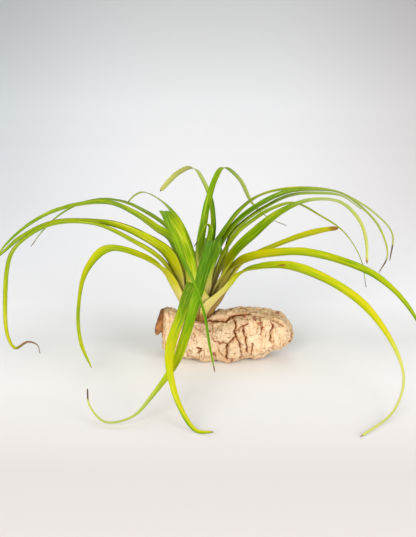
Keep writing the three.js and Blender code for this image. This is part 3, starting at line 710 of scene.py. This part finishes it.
def nearRoute(points, route):
    # distance from every point to a route, in millimetres
    best = np.full(len(points), 1e9)
    for a, b in zip(route, route[1:]):
        a, b = np.array(a, float), np.array(b, float)
        part = np.clip(((points - a) @ (b - a)) / ((b - a) @ (b - a)), 0, 1)
        best = np.minimum(best, np.linalg.norm(points - a - part[:, None] * (b - a), axis=1))
    return best


def noiseOf(points, scale, shift=0.0, octaves=1):
    # a steady random value at every point, with features as large as the scale
    scale = np.broadcast_to(np.array(scale, float), 3)
    if octaves == 1:
        return np.array([noise.noise(Vector(p)) for p in points / scale + shift])
    return np.array([noise.fractal(Vector(p), 0.9, 2.0, octaves) for p in points / scale + shift])


def netOf(points, scale, shift):
    # 0 on the borders of scattered cells, and a steady random height for each cell
    borders, heights = [], []
    for p in points / np.array(scale) + shift:
        gaps, seeds = noise.voronoi(Vector(p))
        borders.append(gaps[1] - gaps[0])
        heights.append(noise.cell(seeds[0] * 7.3))
    return np.array(borders), np.array(heights)


def nearFront(points, normal):
    # how far a place faces the front, and where it lies across and up the front's slant
    slant = math.radians(bark["slant"])
    upSlant = np.array([0, math.sin(slant), math.cos(slant)])
    outSlant = np.array([0, -math.cos(slant), math.sin(slant)])
    front = np.clip(normal @ outSlant * 3, 0, 1)
    return front, np.stack([points[:, 0], points @ upSlant], 1)


def makeBark():
    mesh = barkMesh()
    count = len(mesh.vertices)
    place = np.zeros(count * 3)
    mesh.vertices.foreach_get("co", place)
    place = place.reshape(-1, 3) / mm
    normal = np.zeros(count * 3)
    mesh.vertex_normals.foreach_get("vector", normal)
    normal = normal.reshape(-1, 3)
    warp = np.stack([noiseOf(place, 3.2, shift) for shift in (0, 11, 23)], 1)
    ragged = place + bark["raggedness"] * warp
    front, unrolled = nearFront(ragged, normal)
    fissure = np.zeros(count)
    halo = np.zeros(count)
    for width, depth, route in fissures:
        gap = nearRoute(unrolled, route)
        fissure = np.maximum(fissure, depth * front * np.exp(-(gap / width) ** 2))
        halo = np.maximum(halo, depth * front * np.exp(-(gap / (3 * width)) ** 2))
    raised = np.zeros(count)
    for width, height, route in ridges:
        gap = nearRoute(unrolled, route) / width
        raised = np.maximum(raised, height * front * np.clip(1.4 - 1.4 * gap ** 4, 0, 1))
    borders, heights = netOf(place + 2.2 * warp, (9, 13, 11), 3.1)
    net = np.exp(-(borders / bark["netWidth"]) ** 2)
    net *= np.clip(0.55 + 1.2 * noiseOf(place, 14, 41), 0.0, 1) * (1 - 0.55 * front)
    lines = noiseOf(ragged, (1.5, 8, 8), 5)
    fine = noiseOf(place, (0.9, 2.4, 2.4), 9)
    lumps = noiseOf(place, 6, 13, 3)
    lift = raised + bark["lumps"] * lumps + bark["grain"] * (lines + 0.6 * fine)
    lift += bark["plates"] * (heights - 0.5) * (1 - 0.4 * front) * np.clip(borders / 0.12, 0, 1)
    lift -= bark["fissureDepth"] * fissure + bark["netDepth"] * net
    seat = np.array(rosette["foot"]) - np.array([0, 0, bark["hollowDepth"]])
    inSeat = np.linalg.norm(place[:, :2] - seat[:2], axis=1) < bark["seatRadius"]
    lift[inSeat] = np.minimum(lift[inSeat], 0) * 0.3
    flat = (place[:, 2] < bark["flatTop"]) & (normal[:, 2] < -0.5)
    lift[flat] = np.minimum(lift[flat], 0) * 0.5
    moved = place + normal * lift[:, None]
    moved[:, 2] = np.maximum(moved[:, 2], 0.0)
    mesh.vertices.foreach_set("co", (moved * mm).ravel())
    stain = np.zeros(count)
    for radius, middle in stains:
        gap = np.linalg.norm(unrolled - np.array(middle, float), axis=1)
        stain = np.maximum(stain, front * np.exp(-(gap / radius) ** 2))
    # painted shade: darker in the hollow where the rosette sits
    hollow = np.clip((bark["hollowRadius"] - np.linalg.norm(place - seat, axis=1)) / 4, 0, 1)
    flake = np.clip((bark["flakeRight"] - place[:, 0]) / 1.5, 0, 1)
    flake *= np.clip((place[:, 2] - bark["flakeFoot"]) / 4, 0, 1)
    lump = np.clip((bark["lumpRight"] - place[:, 0]) / 2, 0, 1)
    lump *= np.clip((place[:, 2] - bark["lumpFoot"]) / 3, 0, 1)
    marks = {
        "fissure": np.maximum(fissure, net), "halo": np.maximum(halo, 0.6 * net), "stain": stain,
        "hollow": hollow, "flake": flake, "lump": lump, "plate": heights,
        # top: how far a place faces up, used for painted light on the bark's upper faces
        "top": np.clip(normal[:, 2] * 1.5 - 0.2, 0, 1),
    }
    for key, values in marks.items():
        layer = mesh.attributes.new(key, "FLOAT", "POINT")
        layer.data.foreach_set("value", values.astype(np.float32))
    mesh.update()
    piece = addObject("cork_bark_fissured", mesh)
    mesh.materials.clear()
    mesh.materials.append(barkFinish())
    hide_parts("cork_bark")
    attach(piece, "root")


barkColours = {
    "tan": "CFAC83", "pale": "E2C9A6", "warm": "BF8858", "fissure": "74421F", "deep": "3A1E10",
    # the lighter tan laid on upward faces is painted light, and the dark brown of the seat under the
    # rosette is painted shade
    "stain": "8E4226", "hollow": "4E3020", "flake": "A9662C", "lump": "6E4426", "paintedTopLight": "E6C49C",
}


def barkFinish():
    finish = Finish("cork_bark")
    tints = {key: colour(code) for key, code in barkColours.items()}
    fissure, halo, stain = (finish.attribute(key) for key in ("fissure", "halo", "stain"))
    where = finish.place((1, 1, 1))
    clouds = finish.noise(where, 60.0, 5.0, 0.65)
    mottle = finish.noise(where, 320.0, 4.0, 0.7)
    grit = finish.noise(where, 1200.0, 3.0, 0.6)
    upright = finish.noise(finish.place((520, 70, 70)), 1.0, 3.0, 0.65, 0.5)
    dashes = finish.noise(finish.place((130, 360, 900)), 1.0, 2.0, 0.55)
    tone = (clouds * 0.5 + mottle * 0.5).between(0.38, 0.62)
    surface = finish.blend(tone, tints["tan"], tints["pale"])
    plate = finish.attribute("plate").between(0.5, 1.0) * 0.25
    surface = finish.blend(plate, surface, tints["warm"])
    # painted light: upward faces of the bark lighter
    paintedTopLight = finish.attribute("top") * clouds.between(0.4, 0.62) * 0.6
    surface = finish.blend(paintedTopLight, surface, tints["paintedTopLight"])
    surface = finish.blend(upright.between(0.54, 0.7) * 0.5, surface, tints["warm"])
    surface = finish.blend((0.37 - upright).between(-0.02, 0.06) * 0.75, surface, tints["fissure"])
    lenticels = dashes.between(0.6, 0.66) * clouds.between(0.4, 0.55) * 0.75
    surface = finish.blend(lenticels, surface, tints["fissure"])
    surface = finish.blend((0.4 - mottle).between(-0.01, 0.05) * 0.7, surface, tints["fissure"])
    flaky = finish.blend((clouds + (mottle - 0.5) * 0.6).between(0.42, 0.56), tints["lump"], tints["flake"])
    surface = finish.blend(finish.attribute("flake") * 0.9, surface, flaky)
    surface = finish.blend(finish.attribute("lump") * mottle.between(0.3, 0.6), surface, tints["lump"])
    edges = (halo + (mottle - 0.5) * 1.1).between(0.25, 0.9) * 0.8
    surface = finish.blend(edges, surface, tints["warm"])
    reddish = (stain + (mottle - 0.5) * 1.2 + (grit - 0.5) * 1.6).between(0.4, 0.8) * 0.85
    surface = finish.blend(reddish, surface, tints["stain"])
    cracks = fissure + (mottle - 0.5) * 0.7
    surface = finish.blend(cracks.between(0.3, 0.7), surface, tints["fissure"])
    surface = finish.blend(cracks.between(0.65, 1.05) * 0.85, surface, tints["deep"])
    # painted shade in the seat hollow under the rosette
    surface = finish.blend(finish.attribute("hollow") * 0.8, surface, tints["hollow"])
    rough = 0.82 + mottle * 0.12
    relief = finish.bump(mottle + grit * 0.4 + upright * 0.9, 0.9, 0.0012)
    inputs = {"Base Color": surface, "Roughness": rough, "Normal": relief, "Specular IOR Level": 0.2}
    return finish.finish(inputs)


makeBark()
print("bark made")


# stem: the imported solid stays, with a fibrous finish
stemColours = {"light": "C99A58", "dark": "7E5228"}


def stemFinish():
    finish = Finish("stem")
    fibres = finish.noise(finish.place((900, 900, 60)), 1.0, 3.0, 0.6)
    dark, light = colour(stemColours["dark"]), colour(stemColours["light"])
    surface = finish.blend(fibres.between(0.35, 0.65), dark, light)
    relief = finish.bump(fibres, 0.5, 0.0004)
    return finish.finish({"Base Color": surface, "Roughness": 0.7 + fibres * 0.1, "Normal": relief})


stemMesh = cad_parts["stem"].data
stemMesh.materials.clear()
stemMesh.materials.append(stemFinish())
print("stem finished")


# pale sweep and studio light, in metres
studio = {
    "width": 6.0, "front": -2.2, "back": 1.6, "curve": 1.1, "curveSteps": 16, "height": 4.0, "eye": 0.9,
    # left and right darken the far paper towards each side as painted shade, bluish on the left and pinkish
    # on the right
    "left": "E6ECEF", "right": "EAE5E4", "grain": "C8C4C0", "surround": 0.52, "surroundTint": "F7F9FF",
}
# painted light and shade along the paper: darker at the front edge, lighter just in front of the plant, a
# darker band just behind it, brightest across the floor, darkening up the wall
paperLightAndShade = [  # distance back in metres, colour
    (-0.25, "DDD7D2"), (-0.17, "E8E3DF"), (-0.08, "F5F1EF"), (-0.02, "F4F2F0"), (0.05, "EAE9E8"),
    (0.18, "F9F8F7"), (0.45, "F8F7F6"), (0.9, "FBFAF9"), (1.6, "FAF9F8"), (2.02, "E7E7E6"), (2.2, "D8D8D7"),
    (2.45, "BEBEBD"), (2.75, "8C8C8B"),
]
lamps = {  # place, target, size, watts, tint
    "key": ((-0.6, -1.9, 0.7), (0, 0, 0.06), 1.2, 35, "FFFDF9"),
    "fill": ((1.3, -1.7, 0.7), (0, 0, 0.06), 1.2, 28, "FAFCFF"),
    "top": ((0.1, 0.3, 1.7), (0, 0, 0.0), 1.4, 4, "FFFFFF"),
    "back": ((0.0, 1.7, 1.8), (0, 2.2, 0.0), 1.6, 14, "FFFFFF"),
}


def makeSweep():
    # a profile drawn out sideways: floor, a quarter bend and a wall
    bm = bmesh.new()
    profile = [(studio["front"], 0.0), (studio["back"], 0.0)]
    for step in range(1, studio["curveSteps"] + 1):
        turn = math.pi / 2 * step / studio["curveSteps"]
        reach = studio["back"] + studio["curve"] * math.sin(turn)
        profile.append((reach, studio["curve"] * (1 - math.cos(turn))))
    profile.append((studio["back"] + studio["curve"], studio["height"]))
    verts = [bm.verts.new((-studio["width"] / 2, y, z)) for y, z in profile]
    edges = [bm.edges.new(pair) for pair in zip(verts, verts[1:])]
    drawn = bmesh.ops.extrude_edge_only(bm, edges=edges)["geom"]
    far = [part for part in drawn if isinstance(part, bmesh.types.BMVert)]
    bmesh.ops.translate(bm, verts=far, vec=(studio["width"], 0, 0))
    bmesh.ops.recalc_face_normals(bm, faces=bm.faces)
    for face in bm.faces:
        face.smooth = True
    mesh = bpy.data.meshes.new("sweep")
    bm.to_mesh(mesh)
    bm.free()
    sweep = addObject("sweep", mesh)
    paper = Finish("paper")
    where = paper.place((1, 1, 1))
    x, y = (paper.node("ShaderNodeSeparateXYZ", {}, {0: where}, output=axis) for axis in (0, 1))
    front, reach = paperLightAndShade[0][0], paperLightAndShade[-1][0] - paperLightAndShade[0][0]
    # the paper's colour from front to back, carrying its painted light and shade
    stops = [((back - front) / reach, colour(code)) for back, code in paperLightAndShade]
    tint = paper.node("ShaderNodeValToRGB", {"stops": stops}, {"Fac": (y - front) / reach})
    flank = x / (y + studio["eye"])  # left to right as seen from the front
    far = y.between(0.1, 1.0)
    # painted shade: the far paper darker towards each side
    tint = paper.blend((flank * -1.0).between(0.05, 0.3) * far, tint, colour(studio["left"]), "MULTIPLY")
    tint = paper.blend(flank.between(0.05, 0.3) * far, tint, colour(studio["right"]), "MULTIPLY")
    texture = paper.noise(where, 700.0, 2.0)
    tint = paper.blend(texture.between(0.3, 0.7) * 0.02, tint, colour(studio["grain"]))
    mesh.materials.append(paper.finish({"Base Color": tint, "Roughness": 0.75, "Specular IOR Level": 0.2}))


def makeLight():
    for name, (place, target, size, watts, tint) in lamps.items():
        lamp = bpy.data.lights.new(name, "AREA")
        lamp.shape = "DISK"
        lamp.size = size
        lamp.energy = watts
        lamp.color = colour(tint)[:3]
        holder = addObject(name, lamp)
        holder.location = place
        holder.rotation_euler = (Vector(target) - Vector(place)).to_track_quat("-Z", "Y").to_euler()
    world = bpy.data.worlds.new("surround")
    world.use_nodes = True
    world.node_tree.nodes["Background"].inputs["Color"].default_value = colour(studio["surroundTint"])
    world.node_tree.nodes["Background"].inputs["Strength"].default_value = studio["surround"]
    bpy.context.scene.world = world
    bpy.context.scene.view_settings.view_transform = "Standard"


makeSweep()
makeLight()
print("studio made")
